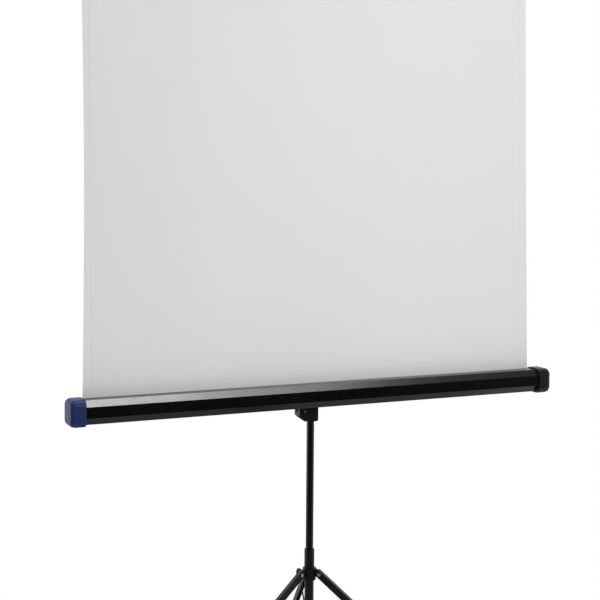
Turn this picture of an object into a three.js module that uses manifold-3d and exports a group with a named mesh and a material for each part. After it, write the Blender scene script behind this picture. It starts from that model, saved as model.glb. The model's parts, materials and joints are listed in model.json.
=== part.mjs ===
// Tripod projector screen: a spring roller screen in a long case, carried by a telescopic
// column on three folding legs. Lengths are in millimetres. X runs along the case, -Y faces
// the audience and Z points up from the floor.

import * as THREE from 'three';
import { mergeVertices } from 'three/addons/utils/BufferGeometryUtils.js';
import Module from 'manifold-3d';

const wasm = await Module();
wasm.setup();

// Fits that all pieces share
const seatGap = 0.3;
const slideGap = 0.25;
const overrun = 2;
const weldDistance = 0.0001;
const degree = Math.PI / 180;
const tubeSides = 20;
const rodSides = 12;
const cornerSegments = 4;

// Screen cloth
const clothWidth = 1500;
const clothHeight = 1500;
const clothThickness = 0.8;

// Heights of the stand
const legPivotHeight = 411;
const collarRise = 77;
const columnShown = 402;

// Legs
const legCount = 3;
const firstLegAzimuth = -45 * degree;
const legSpread = 52 * degree;
const legHeight = 22;
const legWidth = 13.5;
const legWall = 1.5;
const legClearance = 2.5;
const legShoulder = 8;
const legShoulderRadius = 6;
const legPinRadius = 3;
const legPinHeadRadius = 5.5;
const legPinHeadThickness = 1.5;

// Rubber feet
const footWall = 3;
const footGrip = 28;
const footSole = 6;
const footToe = 24;
const footChamfer = 5;

// Braces and their runner
const braceReach = 130;
const braceWidth = 12;
const braceThickness = 3;
const bracePinRadius = 2.5;
const bracePinHeadRadius = 4.5;
const bracePinHeadThickness = 1.2;
const runnerPinRadius = 2.2;
const runnerPinHeadRadius = 3.6;
const runnerPinHeadThickness = 1;
const runnerWall = 5.4;
const cheekThickness = 1.6;
const cheekMargin = 7;
const cheekChamfer = 3;
const stopRingHeight = 4;
const stopRingWall = 2.6;

// Hub
const hubRadius = 21;
const hubAbove = 18;
const hubBelow = 19;
const finNoseRadius = 8;
const finSideGap = 0.75;
const lockBossRadius = 8;
const lockBossReach = 5;

// Lock knob, which looks away from the audience between two legs
const knobRadius = 10.5;
const knobLobeDepth = 1.3;
const knobLobes = 6;
const knobThickness = 13;
const knobStandOff = 1.5;
const knobChamfer = 1.2;
const studRadius = 3;
const studGrip = 8;
const knobAzimuth = firstLegAzimuth + Math.PI;

// Tubes
const baseTubeRadius = 14.3;
const baseTubeWall = 1.2;
const collarWall = 1.05;
const collarLip = 4;
const columnRadius = 11.8;
const columnWall = 1.2;
const columnDrop = 60;
const middleRadius = 9.4;
const middleWall = 1;
const upperRadius = 7.2;
const upperWall = 1;
const tubeOverlap = 95;
const tubeTail = 3;
const stageClearance = 12;
const bushLength = 15;
const bushFlange = 4;
const bushBrim = 1.4;
const bottomCapPlug = 12;
const bottomCapFlange = 4;
const bottomCapBrim = 1;

// Head bracket, in which the column ends
const headWall = 6.4;
const headDrop = 95;
const headRise = 20;
const headReach = 46;
const headHousingTop = 20;
const headHousingSide = 20;
const headSlopeStart = 18;
const headSlopeEnd = 76;
const headChamfer = 4;
const columnAboveHead = 3;
const bossRadius = 22;
const bossLength = 26.3;
const headScrewHeight = 80;
const headScrewRadius = 2.2;
const headScrewHeadRadius = 4.5;
const headScrewHeadThickness = 2.4;

// Release lever in the head
const leverThickness = 11;
const leverSideGap = 0.7;
const leverPivotX = 27;
const leverPivotDrop = 62;
const leverPinRadius = 2;
const leverPinHeadRadius = 3.6;
const leverPinHeadThickness = 1.2;
const leverEyeRadius = 6;
const leverNoseHeight = 5;
const leverProud = 3;
const leverSlotTop = 50;
const leverWindowDrop = 5;

// Case pivot
const boltRadius = 5;
const boltHeadRadius = 9;
const boltHeadThickness = 3.6;
const nutAcross = 16;
const nutThickness = 6.5;
const nutCover = 6;
const washerRadius = 20;
const washerThickness = 1.5;

// Saddle between pivot and case
const saddlePlate = 2.5;
const saddleHeight = 56;
const saddleHalfWidth = 30;
const saddleFoot = 19;
const saddleScrewRadius = 2;
const saddleScrewHeadRadius = 4.5;
const saddleScrewHeadThickness = 2.2;
const saddleScrewTail = 3.5;

// Case
const caseDepth = 72;
const caseHeight = 71;
const caseWall = 1.2;
const caseBeyondCloth = 6;
const caseInCap = 22;
const slotWidth = 11;
const caseOutlineShares = [
  [1, 0.84], [0.88, 1], [-0.45, 1], [-1, 0.52], [-1, -0.38], [-0.36, -1], [0.76, -1], [1, -0.68],
];

// End caps
const capLength = 46;
const capSize = 79;
const capCorner = 20;
const capEdge = 16;
const capEdgeSteps = 3;
const capScrewInset = 11;
const capScrewRadius = 1.8;
const capScrewHeadRadius = 3.6;
const capScrewHeadThickness = 2.4;
const capScrewTail = 3;

// Roller inside the case
const rollerRadius = 18;
const rollerWall = 1.4;
const rollerOffset = 4;
const rollerBeyondCloth = 3;
const woundThickness = 1.3;
const plugFlange = 2.4;
const plugLength = 26;
const gudgeonRadius = 4;
const gudgeonSocket = 10;
const springWireRadius = 1.1;
const springCoilRadius = 9;
const springLength = 150;
const springTurns = 12;
const springSides = 5;
const springStepsPerTurn = 8;
const blockerPinReach = 190;

// Top slat, bail and hook arm
const slatDepth = 14;
const slatHeight = 22;
const slatBehind = 3;
const slatChamfer = 2;
const slatGroove = 3;
const slatGrooveDepth = 9;
const slatWall = 1.6;
const slatParkGap = 4;
const slatEndGap = 4;
const slatCapWall = 1.5;
const slatCapLength = 14;
const slatCapFloor = 3;
const clothInSlat = 7;
const bailHeight = 60;
const bailHalfWidth = 32;
const bailWireRadius = 2;
const bailCorner = 16;
const bailFoot = 5;
const bailSteps = 24;
const bailSides = 4;
const armThickness = 10;
const armFront = 50;
const armLipHeight = 9;
const armLipThickness = 4;
const armFrontDepth = 8;
const armRearDepth = 16;
const armSocketDepth = 34;
const armSocketWall = 2;
const armSocketRoof = 6;
const notchDepth = 2.5;
const notchFloor = 3;
const notchRun = 6;
const hookLead = 30;

// Places that follow from the sizes above
const pivotRadius = hubRadius + legClearance + legHeight / 2;
const collarTop = legPivotHeight + collarRise;
const headBottom = collarTop + columnShown;
const caseCentreHeight = headBottom + headDrop;
const headTop = caseCentreHeight + headRise;
const columnTop = headTop + columnAboveHead;
const headHalf = columnRadius + headWall;
const bossFront = -headHalf - bossLength;
const washerBack = bossFront - seatGap;
const saddleBack = washerBack - washerThickness - seatGap;
const saddleFront = saddleBack - saddlePlate;
const boltHeadBack = saddleFront - seatGap;
const boltHeadFront = boltHeadBack - boltHeadThickness;
const caseBack = boltHeadFront - saddlePlate / 2;
const caseCentreY = caseBack - caseDepth / 2;
const caseTop = caseCentreHeight + caseHeight / 2;
const capInner = clothWidth / 2 + caseBeyondCloth;
const capOuter = capInner + capLength;
const shellHalf = capInner + caseInCap;

const rollerY = caseCentreY + rollerOffset;
const woundRadius = rollerRadius + seatGap + woundThickness;
const clothBottomY = rollerY + woundRadius + seatGap + clothThickness / 2;
const slatY = -(upperRadius + slatBehind + slatDepth / 2);
const slatBottom = caseTop + slatParkGap + clothHeight;
const slatTop = slatBottom + slatHeight;
const clothTop = slatBottom + clothInSlat;
const clothLean = (slatY - clothBottomY) / (slatBottom - caseCentreHeight);
const slotY = clothBottomY + clothLean * (caseTop - caseCentreHeight);
const slatHalf = capInner - slatEndGap;

const stageTravel = (clothHeight + hookLead) / 2;
const middleBottom = columnTop - tubeOverlap;
const middleTop = columnTop + stageTravel + stageClearance;
const upperBottom = middleTop - tubeOverlap;
const notchHeight = slatTop + bailHeight - bailWireRadius - seatGap;
const armTop = notchHeight + notchDepth;
const upperTop = armTop - armSocketRoof - seatGap;
const columnBottom = middleBottom - stageTravel - tubeTail;

const runnerRadius = baseTubeRadius + slideGap + runnerWall;
const runnerPinHeight = legPivotHeight - 2 * braceReach * Math.cos(legSpread);
const slotAngle = Math.asin((1 - Math.cos(legSpread)) / legSpread);
const slotShare = Math.cos(slotAngle) - Math.cos(legSpread)
  - (1 - slotAngle / legSpread) * (1 - Math.cos(legSpread));
const runnerSlot = 2 * braceReach * slotShare;
const runnerTravel = 2 * braceReach * (1 - Math.cos(legSpread));
const runnerTop = runnerPinHeight + cheekMargin;
const runnerBottom = runnerPinHeight - runnerSlot - cheekMargin;
const baseTubeTop = collarTop - collarLip - seatGap;
const columnFoot = columnBottom - bushFlange - seatGap;
const baseTubeBottom = Math.min(
  runnerBottom - runnerTravel - seatGap,
  columnFoot - columnDrop - bottomCapPlug - seatGap,
);

// Finishes
function finish(color, roughness, metalness) {
  return () => new THREE.MeshStandardMaterial({ color, roughness, metalness });
}
const blackPaint = finish(0x15161a, 0.32, 0.2);
const blackTube = finish(0x1c1d20, 0.4, 0.5);
const blackPlastic = finish(0x141416, 0.5, 0);
const bluePlastic = finish(0x2c3a72, 0.45, 0);
const blackRubber = finish(0x0e0e0f, 0.85, 0);
const zincSteel = finish(0xb4b6ba, 0.35, 0.9);
const greyCloth = finish(0xd4d5d8, 0.85, 0);
const blackAluminium = finish(0x17181b, 0.4, 0.4);

// Solids that can be joined and cut
function signedVolume(positions, triangles) {
  const a = new THREE.Vector3();
  const b = new THREE.Vector3();
  const c = new THREE.Vector3();
  let sum = 0;
  for (let i = 0; i < triangles.length; i += 3) {
    a.fromBufferAttribute(positions, triangles[i]);
    b.fromBufferAttribute(positions, triangles[i + 1]);
    c.fromBufferAttribute(positions, triangles[i + 2]);
    sum += a.dot(b.cross(c));
  }
  return sum;
}

function solid(geometry) {
  const bare = new THREE.BufferGeometry();
  bare.setAttribute('position', geometry.getAttribute('position'));
  bare.setIndex(geometry.index);
  const merged = mergeVertices(bare, weldDistance);
  const positions = merged.getAttribute('position');
  const triangles = [];
  for (let i = 0; i < merged.index.count; i += 3) {
    const [a, b, c] = merged.index.array.slice(i, i + 3);
    if (a !== b && b !== c && c !== a) triangles.push(a, b, c);
  }
  if (signedVolume(positions, triangles) < 0) triangles.reverse();
  return new wasm.Manifold(new wasm.Mesh({
    numProp: 3,
    vertProperties: new Float32Array(positions.array),
    triVerts: new Uint32Array(triangles),
  }));
}

function joined(...geometries) {
  return geometries.map(solid).reduce((whole, piece) => whole.add(piece));
}

function cut(whole, ...tools) {
  return tools.map(solid).reduce((rest, tool) => rest.subtract(tool), whole);
}

function toGeometry(manifold) {
  const mesh = manifold.getMesh();
  const geometry = new THREE.BufferGeometry();
  geometry.setAttribute('position', new THREE.BufferAttribute(mesh.vertProperties, 3));
  geometry.setIndex(new THREE.BufferAttribute(mesh.triVerts, 1));
  return geometry;
}

function addPart(parent, name, shape, material) {
  const manifold = shape.isBufferGeometry ? solid(shape) : shape;
  const flat = toGeometry(manifold).toNonIndexed();
  flat.computeVertexNormals();
  const mesh = new THREE.Mesh(flat, material());
  mesh.name = name;
  parent.add(mesh);
  return mesh;
}

// Basic shapes
function block(x, y, z) {
  const geometry = new THREE.BoxGeometry(x[1] - x[0], y[1] - y[0], z[1] - z[0]);
  return geometry.translate((x[0] + x[1]) / 2, (y[0] + y[1]) / 2, (z[0] + z[1]) / 2);
}

function rod(axis, radius, from, to, sides = rodSides) {
  const geometry = new THREE.CylinderGeometry(radius, radius, to - from, sides);
  geometry.translate(0, (from + to) / 2, 0);
  if (axis === 'x') geometry.rotateZ(-Math.PI / 2);
  if (axis === 'z') geometry.rotateX(Math.PI / 2);
  return geometry;
}

function tube(outer, inner, from, to, sides = tubeSides) {
  const profile = [[inner, from], [outer, from], [outer, to], [inner, to], [inner, from]];
  const points = profile.map(([x, y]) => new THREE.Vector2(x, y));
  return new THREE.LatheGeometry(points, sides).rotateX(Math.PI / 2);
}

function outline(points) {
  return new THREE.Shape(points.map(([x, y]) => new THREE.Vector2(x, y)));
}

function slabXY(shape, from, to) {
  const options = { depth: to - from, bevelEnabled: false, curveSegments: cornerSegments };
  return new THREE.ExtrudeGeometry(shape, options).translate(0, 0, from);
}

function slabXZ(shape, from, to) {
  return slabXY(shape, -to, -from).rotateX(Math.PI / 2);
}

function slabYZ(shape, from, to) {
  const turn = new THREE.Matrix4().makeBasis(
    new THREE.Vector3(0, 1, 0), new THREE.Vector3(0, 0, 1), new THREE.Vector3(1, 0, 0),
  );
  return slabXY(shape, from, to).applyMatrix4(turn);
}

function rivet(radius, grip, headRadius, headThickness) {
  const half = grip / 2;
  const end = half + headThickness;
  const profile = [
    [0, -end], [headRadius, -end], [headRadius, -half], [radius, -half],
    [radius, half], [headRadius, half], [headRadius, end], [0, end],
  ];
  return new THREE.LatheGeometry(profile.map(([x, y]) => new THREE.Vector2(x, y)), rodSides);
}

// A screw with its head's outer face at the origin and its tip towards +Y
function screw(radius, headRadius, headThickness, length) {
  const profile = [
    [0, 0], [headRadius, 0], [headRadius, headThickness],
    [radius, headThickness], [radius, length], [0, length],
  ];
  return new THREE.LatheGeometry(profile.map(([x, y]) => new THREE.Vector2(x, y)), rodSides);
}

// A bar with two round ends, from the origin to length along X, in the XZ plane
function barShape(length, width) {
  const shape = new THREE.Shape();
  shape.absarc(0, 0, width / 2, Math.PI / 2, 3 * Math.PI / 2);
  shape.absarc(length, 0, width / 2, -Math.PI / 2, Math.PI / 2);
  return shape;
}

// A convex outline with its sides moved in by a distance, or out if it is negative
function inset(points, distance) {
  const lines = points.map((from, i) => {
    const to = points[(i + 1) % points.length];
    const along = new THREE.Vector2(to[0] - from[0], to[1] - from[1]).normalize();
    return { x: from[0] - along.y * distance, y: from[1] + along.x * distance, along };
  });
  return lines.map((line, i) => {
    const last = lines[(i + lines.length - 1) % lines.length];
    const turn = last.along.cross(line.along);
    const gap = new THREE.Vector2(line.x - last.x, line.y - last.y);
    const share = gap.cross(line.along) / turn;
    return [last.x + last.along.x * share, last.y + last.along.y * share];
  });
}

function chamferedRectangle(x, y, chamfer) {
  return [
    [x[0] + chamfer, y[0]], [x[1] - chamfer, y[0]], [x[1], y[0] + chamfer],
    [x[1], y[1] - chamfer], [x[1] - chamfer, y[1]], [x[0] + chamfer, y[1]],
    [x[0], y[1] - chamfer], [x[0], y[0] + chamfer],
  ];
}

const screen = new THREE.Group();

// Base tube, its collar and its bottom cap
function addBase(parent) {
  const inner = baseTubeRadius - baseTubeWall;
  const studHole = rod('x', studRadius + seatGap, columnRadius, hubRadius)
    .rotateZ(knobAzimuth)
    .translate(0, 0, legPivotHeight);
  const baseTube = cut(solid(tube(baseTubeRadius, inner, baseTubeBottom, baseTubeTop)), studHole);
  addPart(parent, 'base_tube', baseTube, blackTube);

  const bore = baseTubeRadius + slideGap;
  const collarBottom = legPivotHeight + hubAbove + seatGap;
  const profile = [
    [bore, collarBottom], [bore + collarWall, collarBottom], [bore + collarWall, collarTop],
    [columnRadius + slideGap, collarTop], [columnRadius + slideGap, collarTop - collarLip],
    [bore, collarTop - collarLip], [bore, collarBottom],
  ];
  const points = profile.map(([x, y]) => new THREE.Vector2(x, y));
  const collar = new THREE.LatheGeometry(points, tubeSides).rotateX(Math.PI / 2);
  addPart(parent, 'base_collar', collar, blackPlastic);

  const capTop = baseTubeBottom + bottomCapPlug;
  const flangeTop = baseTubeBottom - seatGap;
  const plug = rod('z', inner - slideGap, flangeTop - overrun / 2, capTop, tubeSides);
  const brim = baseTubeRadius + bottomCapBrim;
  const flange = rod('z', brim, flangeTop - bottomCapFlange, flangeTop, tubeSides);
  addPart(parent, 'base_bottom_cap', joined(plug, flange), blackPlastic);

  const stopBottom = runnerTop + seatGap;
  const stop = tube(bore + stopRingWall, bore, stopBottom, stopBottom + stopRingHeight);
  addPart(parent, 'runner_stop', stop, zincSteel);
}

// Hub with three fins for the legs and a boss for the lock knob
function addHub(parent) {
  const bottom = legPivotHeight - hubBelow;
  const top = legPivotHeight + hubAbove;
  const bore = baseTubeRadius + slideGap;
  const finHalf = legWidth / 2 - legWall - finSideGap;
  const bossEnd = hubRadius + lockBossReach;
  const boss = rod('x', lockBossRadius, bore, bossEnd).rotateZ(knobAzimuth);
  const fins = [];
  const holes = [];
  for (let i = 0; i < legCount; i += 1) {
    const azimuth = legAzimuth(i);
    const fin = slabXZ(finShape(bore), -finHalf, finHalf);
    fins.push(fin.translate(0, 0, legPivotHeight).rotateZ(azimuth));
    const hole = rod('y', legPinRadius + seatGap, -finHalf - overrun, finHalf + overrun);
    holes.push(hole.translate(pivotRadius, 0, legPivotHeight).rotateZ(azimuth));
  }
  const outer = rod('z', hubRadius, bottom, top, tubeSides);
  const body = joined(outer, boss.translate(0, 0, legPivotHeight), ...fins);
  const through = rod('z', bore, bottom - overrun, top + overrun, tubeSides);
  const studHole = rod('x', studRadius + seatGap, 0, bossEnd + overrun)
    .rotateZ(knobAzimuth)
    .translate(0, 0, legPivotHeight);
  addPart(parent, 'hub', cut(body, through, studHole, ...holes), blackPlastic);
}

// A fin's side: a nose around the leg pin, and a straight slope from the nose to the hub's top edge
function finShape(bore) {
  const across = hubRadius - pivotRadius;
  const slope = Math.atan2(hubAbove, across) - Math.acos(finNoseRadius / Math.hypot(across, hubAbove));
  const shape = new THREE.Shape();
  shape.moveTo(hubRadius, hubAbove);
  shape.lineTo(bore, hubAbove);
  shape.lineTo(bore, -finNoseRadius);
  shape.absarc(pivotRadius, 0, finNoseRadius, -Math.PI / 2, slope);
  return shape;
}

function legAzimuth(index) {
  return firstLegAzimuth - index * 2 * Math.PI / legCount;
}

// Lock knob on its stud, built along +X
function addLockKnob(parent) {
  const frame = new THREE.Group();
  frame.rotation.z = knobAzimuth;
  frame.position.z = legPivotHeight;
  parent.add(frame);
  const start = hubRadius + lockBossReach + knobStandOff;
  const shape = new THREE.Shape();
  const steps = knobLobes * cornerSegments;
  for (let i = 0; i < steps; i += 1) {
    const angle = 2 * Math.PI * i / steps;
    const radius = knobRadius + knobLobeDepth * Math.cos(knobLobes * angle);
    const point = [radius * Math.cos(angle), radius * Math.sin(angle)];
    if (i === 0) shape.moveTo(...point);
    else shape.lineTo(...point);
  }
  const options = {
    depth: knobThickness - 2 * knobChamfer, bevelEnabled: true, bevelSegments: 1,
    bevelThickness: knobChamfer, bevelSize: knobChamfer, bevelOffset: -knobChamfer,
  };
  const head = new THREE.ExtrudeGeometry(shape, options)
    .translate(0, 0, knobChamfer)
    .rotateY(Math.PI / 2)
    .translate(start, 0, 0);
  const bore = rod('x', studRadius + seatGap, start - overrun, start + studGrip + seatGap);
  addPart(frame, 'column_lock_knob', cut(solid(head), bore), blackPlastic);
  const stud = rod('x', studRadius, columnRadius + seatGap, start + studGrip);
  addPart(frame, 'column_lock_stud', stud, zincSteel);
}

// One leg with its foot and pins, in the radial plane of its azimuth
function addLeg(parent, index) {
  const number = index + 1;
  const spoke = new THREE.Group();
  spoke.rotation.z = legAzimuth(index);
  parent.add(spoke);
  const leg = new THREE.Group();
  leg.position.set(pivotRadius, 0, legPivotHeight);
  leg.rotation.y = Math.PI / 2 - legSpread;
  spoke.add(leg);

  const halfHeight = legHeight / 2;
  const half = legWidth / 2;
  const drop = legPivotHeight - halfHeight * Math.sin(legSpread) - footSole;
  const length = drop / Math.cos(legSpread);
  const shape = new THREE.Shape();
  shape.moveTo(length, -halfHeight);
  shape.lineTo(length, halfHeight);
  const shoulder = halfHeight - legShoulderRadius;
  shape.absarc(-legShoulder, shoulder, legShoulderRadius, Math.PI / 2, Math.PI);
  shape.absarc(0, 0, halfHeight, Math.PI, 3 * Math.PI / 2);
  const hollow = block(
    [-legHeight, length + overrun], [-half + legWall, half - legWall],
    [-legHeight, halfHeight - legWall],
  );
  const pivotHole = rod('y', legPinRadius + seatGap, -legWidth, legWidth);
  const braceHole = rod('y', bracePinRadius + seatGap, -legWidth, legWidth)
    .translate(braceReach, 0, 0);
  const channel = cut(solid(slabXZ(shape, -half, half)), hollow, pivotHole, braceHole);
  addPart(leg, `leg_${number}`, channel, blackTube);

  const grip = legWidth + 2 * seatGap;
  const upperPin = rivet(bracePinRadius, grip, bracePinHeadRadius, bracePinHeadThickness);
  addPart(leg, `brace_upper_pin_${number}`, upperPin.translate(braceReach, 0, 0), zincSteel);
  const legPin = rivet(legPinRadius, grip, legPinHeadRadius, legPinHeadThickness)
    .translate(pivotRadius, 0, legPivotHeight);
  addPart(spoke, `leg_pin_${number}`, legPin, zincSteel);

  const footHalf = half + seatGap + footWall;
  const footHalfHeight = halfHeight + seatGap + footWall;
  const body = slabXZ(
    outline(chamferedRectangle(
      [length - footGrip, length + footToe], [-footHalfHeight, footHalfHeight], footChamfer,
    )),
    -footHalf, footHalf,
  );
  const pocket = block(
    [-legHeight, length + seatGap], [-half - seatGap, half + seatGap],
    [-halfHeight - seatGap, halfHeight + seatGap],
  );
  const toLeg = new THREE.Matrix4().makeRotationY(leg.rotation.y)
    .setPosition(leg.position)
    .invert();
  const reach = 2 * (length + pivotRadius);
  const floor = block([0, reach], [-legPivotHeight, legPivotHeight], [-legPivotHeight, 0])
    .applyMatrix4(toLeg);
  addPart(leg, `foot_${number}`, cut(solid(body), pocket, floor), blackRubber);

  addBrace(spoke, number);
}

function addBrace(spoke, number) {
  const brace = new THREE.Group();
  const reachX = pivotRadius + braceReach * Math.sin(legSpread);
  brace.position.set(reachX, 0, legPivotHeight - braceReach * Math.cos(legSpread));
  brace.rotation.y = Math.PI / 2 + legSpread;
  spoke.add(brace);
  const half = braceThickness / 2;
  const strip = slabXZ(barShape(braceReach, braceWidth), -half, half);
  const upperHole = rod('y', bracePinRadius + seatGap, -legWidth, legWidth);
  const lowerHole = rod('y', runnerPinRadius + seatGap, -legWidth, legWidth)
    .translate(braceReach, 0, 0);
  addPart(brace, `brace_${number}`, cut(solid(strip), upperHole, lowerHole), blackTube);
  const grip = braceThickness + 2 * (cheekThickness + 2 * seatGap);
  const pin = rivet(runnerPinRadius, grip, runnerPinHeadRadius, runnerPinHeadThickness);
  addPart(brace, `brace_lower_pin_${number}`, pin.translate(braceReach, 0, 0), zincSteel);
}

// Runner on the base tube. A brace pin moves down its slot in the middle of the fold.
function addRunner(parent) {
  const bore = baseTubeRadius + slideGap;
  const inner = braceThickness / 2 + seatGap;
  const outer = inner + cheekThickness;
  const cheekEnd = pivotRadius + cheekMargin;
  const cheekOutline = outline(
    chamferedRectangle([bore, cheekEnd], [runnerBottom, runnerTop], cheekChamfer),
  );
  const cheeks = [];
  const slots = [];
  const slotHalf = runnerPinRadius + seatGap;
  for (let i = 0; i < legCount; i += 1) {
    for (const side of [-1, 1]) {
      const from = Math.min(side * inner, side * outer);
      const cheek = slabXZ(cheekOutline, from, from + cheekThickness);
      cheeks.push(cheek.rotateZ(legAzimuth(i)));
    }
    const slot = block(
      [pivotRadius - slotHalf, pivotRadius + slotHalf], [-legWidth, legWidth],
      [runnerPinHeight - runnerSlot - slotHalf, runnerPinHeight + slotHalf],
    );
    slots.push(slot.rotateZ(legAzimuth(i)));
  }
  const ring = rod('z', runnerRadius, runnerBottom, runnerTop, tubeSides);
  const through = rod('z', bore, runnerBottom - overrun, runnerTop + overrun, tubeSides);
  addPart(parent, 'runner', cut(joined(ring, ...cheeks), through, ...slots), blackPlastic);
}

// A bush at the end of a tube, guiding what slides in or on it
function endBush(outer, inner, brim, edge, into) {
  const flangeStart = edge - into * seatGap;
  const levels = [edge + into * bushLength, flangeStart, flangeStart - into * bushFlange];
  const profile = [
    [inner, levels[0]], [outer, levels[0]], [outer, levels[1]], [brim, levels[1]],
    [brim, levels[2]], [inner, levels[2]], [inner, levels[0]],
  ];
  const points = profile.map(([x, y]) => new THREE.Vector2(x, y));
  return new THREE.LatheGeometry(points, tubeSides).rotateX(Math.PI / 2);
}

function addColumn(parent) {
  const columnInner = columnRadius - columnWall;
  const column = tube(columnRadius, columnInner, columnBottom, columnTop);
  const window = leverWindow();
  const screwHole = rod('y', headScrewRadius + seatGap, 0, headHalf)
    .translate(0, 0, caseCentreHeight - headScrewHeight);
  addPart(parent, 'column_tube', cut(solid(column), window, screwHole), blackTube);

  const lowerOuter = baseTubeRadius - baseTubeWall - slideGap;
  const lowerBush = endBush(
    columnInner - slideGap, middleRadius + slideGap, lowerOuter, columnBottom, 1,
  );
  addPart(parent, 'column_lower_bush', lowerBush, blackPlastic);
  const topBush = endBush(
    columnInner - slideGap, middleRadius + slideGap, columnRadius + bushBrim, columnTop, -1,
  );
  addPart(parent, 'column_top_bush', topBush, blackPlastic);
}

// The space in which the lever's nose reaches the middle tube
function leverWindow() {
  const height = caseCentreHeight - leverPivotDrop;
  const halfSlot = leverThickness / 2 + leverSideGap;
  return block(
    [-leverPivotX, -middleRadius], [-halfSlot, halfSlot],
    [height - leverNoseHeight / 2 - leverWindowDrop, height + leverNoseHeight / 2 + seatGap],
  );
}

function addHead(parent) {
  const z = caseCentreHeight;
  const shape = outline([
    [headHalf, z + headRise], [-headHousingSide, z + headRise],
    [-headHousingSide, z - headHousingTop], [-headReach + headChamfer, z - headHousingTop],
    [-headReach, z - headHousingTop - headChamfer], [-headReach, z - headSlopeEnd],
    [-headSlopeStart, z - headDrop], [headHalf - headChamfer, z - headDrop],
    [headHalf, z - headDrop + headChamfer],
  ]);
  const body = slabXZ(shape, -headHalf, headHalf);
  const boss = rod('y', bossRadius, bossFront, 0, tubeSides).translate(0, 0, z);
  const bore = rod('z', columnRadius + slideGap, headBottom - overrun, columnTop, tubeSides);
  const halfSlot = leverThickness / 2 + leverSideGap;
  const leverSlot = block(
    [-headReach - overrun, -headHalf], [-halfSlot, halfSlot],
    [headBottom - overrun, z - leverSlotTop],
  );
  const pinHole = rod('y', leverPinRadius + seatGap, -headHalf - overrun, headHalf + overrun)
    .translate(-leverPivotX, 0, z - leverPivotDrop);
  const boltHole = rod('y', boltRadius + seatGap, bossFront - overrun, 0).translate(0, 0, z);
  const nutBack = -columnRadius - nutCover;
  const nutRoom = nutAcross / 2 + seatGap;
  const nutSlot = block(
    [-nutRoom, nutRoom], [nutBack - nutThickness - 2 * seatGap, nutBack],
    [z - nutRoom, z + bossRadius + overrun],
  );
  const screwHole = rod('y', headScrewRadius + seatGap, 0, headHalf + overrun)
    .translate(0, 0, z - headScrewHeight);
  const head = cut(
    joined(body, boss), bore, leverSlot, leverWindow(), pinHole, boltHole, nutSlot, screwHole,
  );
  addPart(parent, 'head_bracket', head, blackPlastic);

  const screwTop = headHalf + seatGap + headScrewHeadThickness;
  const screwLength = screwTop - (columnRadius - columnWall);
  const headScrew = screw(
    headScrewRadius, headScrewHeadRadius, headScrewHeadThickness, screwLength,
  );
  headScrew.rotateZ(Math.PI).translate(0, screwTop, z - headScrewHeight);
  addPart(parent, 'head_screw', headScrew, zincSteel);

  const boltEnd = nutBack - seatGap - boltHeadFront;
  const bolt = screw(boltRadius, boltHeadRadius, boltHeadThickness, boltEnd)
    .translate(0, boltHeadFront, z);
  addPart(parent, 'pivot_bolt', bolt, zincSteel);
  const washer = tube(washerRadius, boltRadius + seatGap, washerBack - washerThickness, washerBack)
    .rotateX(-Math.PI / 2)
    .translate(0, 0, z);
  addPart(parent, 'pivot_washer', washer, blackPlastic);
  const nutY = [nutBack - seatGap - nutThickness, nutBack - seatGap];
  const nutBody = block([-nutAcross / 2, nutAcross / 2], nutY, [-nutAcross / 2, nutAcross / 2]);
  const thread = rod('y', boltRadius + seatGap, nutY[0] - overrun, nutY[1] + overrun);
  addPart(parent, 'pivot_nut', cut(solid(nutBody), thread).translate([0, 0, z]), zincSteel);
}

function addReleaseLever(parent) {
  const pivot = [-leverPivotX, caseCentreHeight - leverPivotDrop];
  const noseTip = -middleRadius - seatGap;
  const half = leverThickness / 2;
  const slope = (headDrop - headSlopeEnd) / (headReach - headSlopeStart);
  const slopeAt = (x) => headBottom - leverProud + slope * (-headSlopeStart - x);
  const right = -headHalf - leverSideGap;
  const left = -headReach;
  const paddle = outline([
    [right, pivot[1]], [right, slopeAt(right)], [left, slopeAt(left)],
    [left, pivot[1] - leverEyeRadius / 2], [pivot[0], pivot[1] + leverEyeRadius],
    [right, pivot[1] + leverNoseHeight / 2],
  ]);
  const nose = block(
    [pivot[0], noseTip], [-half, half],
    [pivot[1] - leverNoseHeight / 2, pivot[1] + leverNoseHeight / 2],
  );
  const eye = rod('y', leverPinRadius + seatGap, -leverThickness, leverThickness)
    .translate(pivot[0], 0, pivot[1]);
  const lever = cut(joined(slabXZ(paddle, -half, half), nose), eye);
  addPart(parent, 'release_lever', lever, blackPlastic);
  const pin = rivet(
    leverPinRadius, 2 * (headHalf + seatGap), leverPinHeadRadius, leverPinHeadThickness,
  );
  addPart(parent, 'release_lever_pin', pin.translate(pivot[0], 0, pivot[1]), zincSteel);
}

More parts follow.
